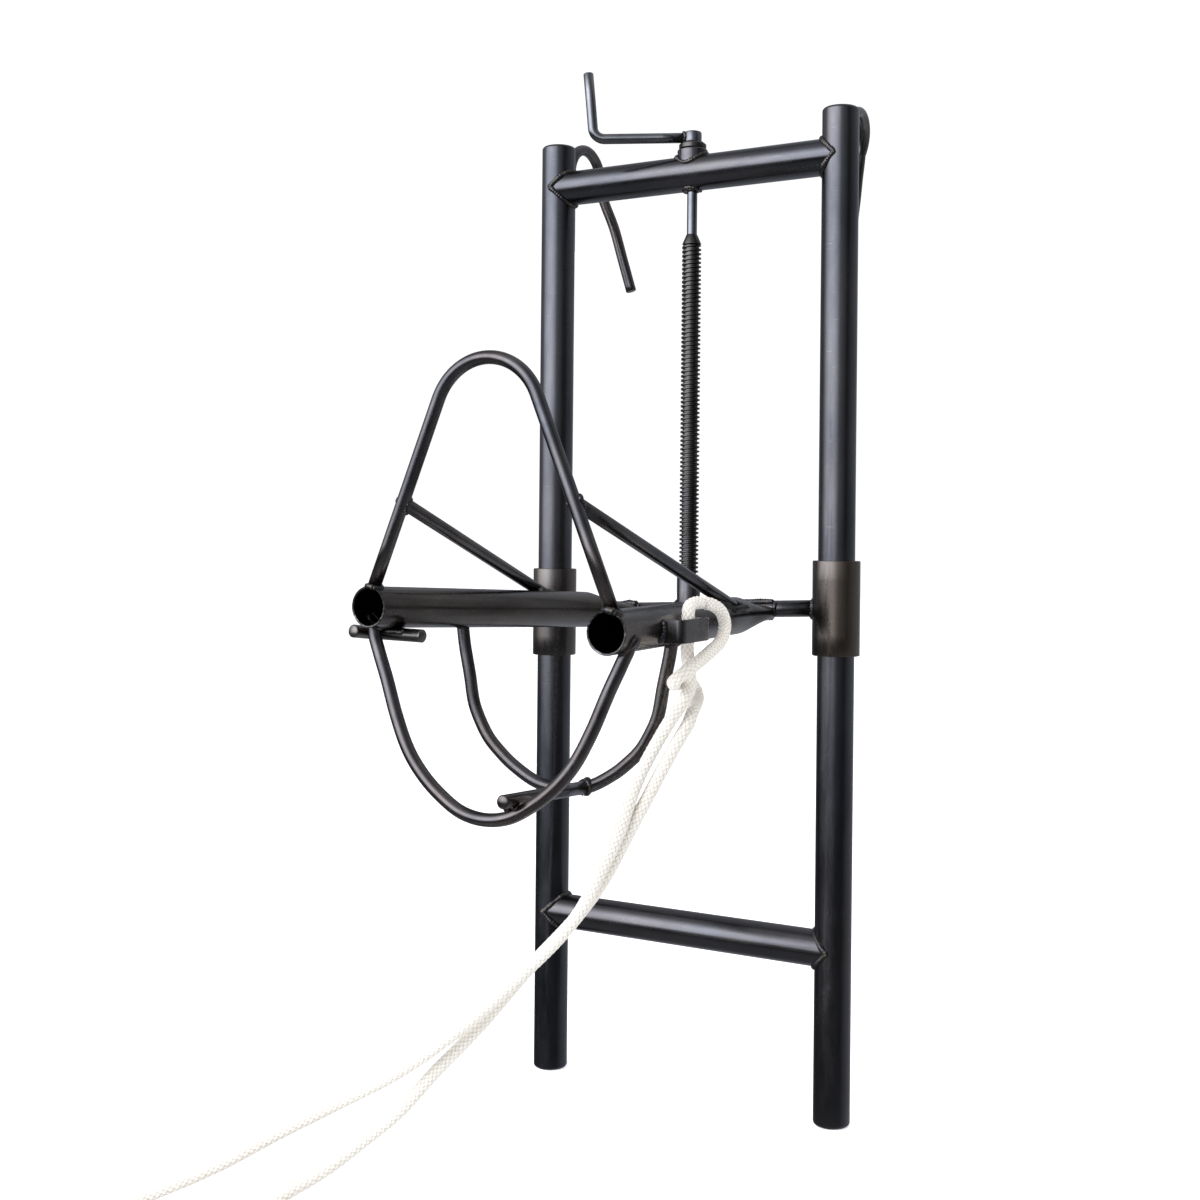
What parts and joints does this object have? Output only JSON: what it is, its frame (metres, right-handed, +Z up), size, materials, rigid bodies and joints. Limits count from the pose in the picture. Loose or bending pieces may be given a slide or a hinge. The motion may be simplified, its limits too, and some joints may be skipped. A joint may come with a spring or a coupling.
{
  "type": "livestock head rest",
  "caption": "Hang-on livestock head rest: upright tubes with rod hooks, crank-driven lead screw, sliding carriage with nose loop, chin cradle loops, forward arms and hitched rope.",
  "frame": {"origin": "on top of the rail that the two hooks hang on, midway between them, at the centre of the rail's 54 mm throat", "axes": "+Z up along the uprights, +X towards the upright on the viewer's right when the arms point at the viewer, -Y the way the arms point"},
  "size_m": [0.4787, 0.7629, 1.0095],
  "materials": {
    "tube_steel": "blackened, satin, with brown weld tints",
    "rod_steel": "blackened, satin",
    "screw_steel": "oiled dark steel",
    "rope": "white braided cord"
  },
  "bodies": {
    "frame": {"upright_left": "tube_steel", "upright_right": "tube_steel", "upright_cap_top_left": "tube_steel", "upright_cap_top_right": "tube_steel", "upright_cap_bottom_left": "tube_steel", "upright_cap_bottom_right": "tube_steel", "top_bar": "tube_steel", "bottom_bar": "tube_steel", "hook_left": "rod_steel", "hook_right": "rod_steel", "screw_bushing": "screw_steel", "bushing_boss": "tube_steel"},
    "crank": {"crank_rod": "rod_steel", "crank_shaft": "rod_steel", "thrust_collar": "screw_steel", "lead_screw": "screw_steel"},
    "carriage": {"sleeve_left": "tube_steel", "sleeve_right": "tube_steel", "cross_bar_left": "tube_steel", "cross_bar_right": "tube_steel", "lift_nut": "screw_steel", "arm_left": "tube_steel", "arm_right": "tube_steel", "nose_loop": "rod_steel", "brace_left": "rod_steel", "brace_right": "rod_steel", "front_cradle_loop": "rod_steel", "rear_cradle_loop": "rod_steel", "chin_bar": "rod_steel", "rope_lug": "tube_steel", "cleat_hook": "rod_steel", "rope_leg_a": "rope", "rope_leg_b": "rope", "rope_coil_a": "rope", "rope_coil_b": "rope"}
  },
  "joints": [
    {"name": "crank_turn", "type": "hinge", "parent": "frame", "child": "crank", "pos_m": [0, -0.055, -0.012], "axis": [0, 0, -1], "range_deg": [0, 27000]},
    {"name": "carriage_lift", "type": "slide", "parent": "frame", "child": "carriage", "axis": [0, 0, 1], "range_m": [0, 0.3176]}
  ],
  "couplings": [
    {"joint": "carriage_lift", "follows": "crank_turn", "m_per_rad": 0.00067375}
  ]
}
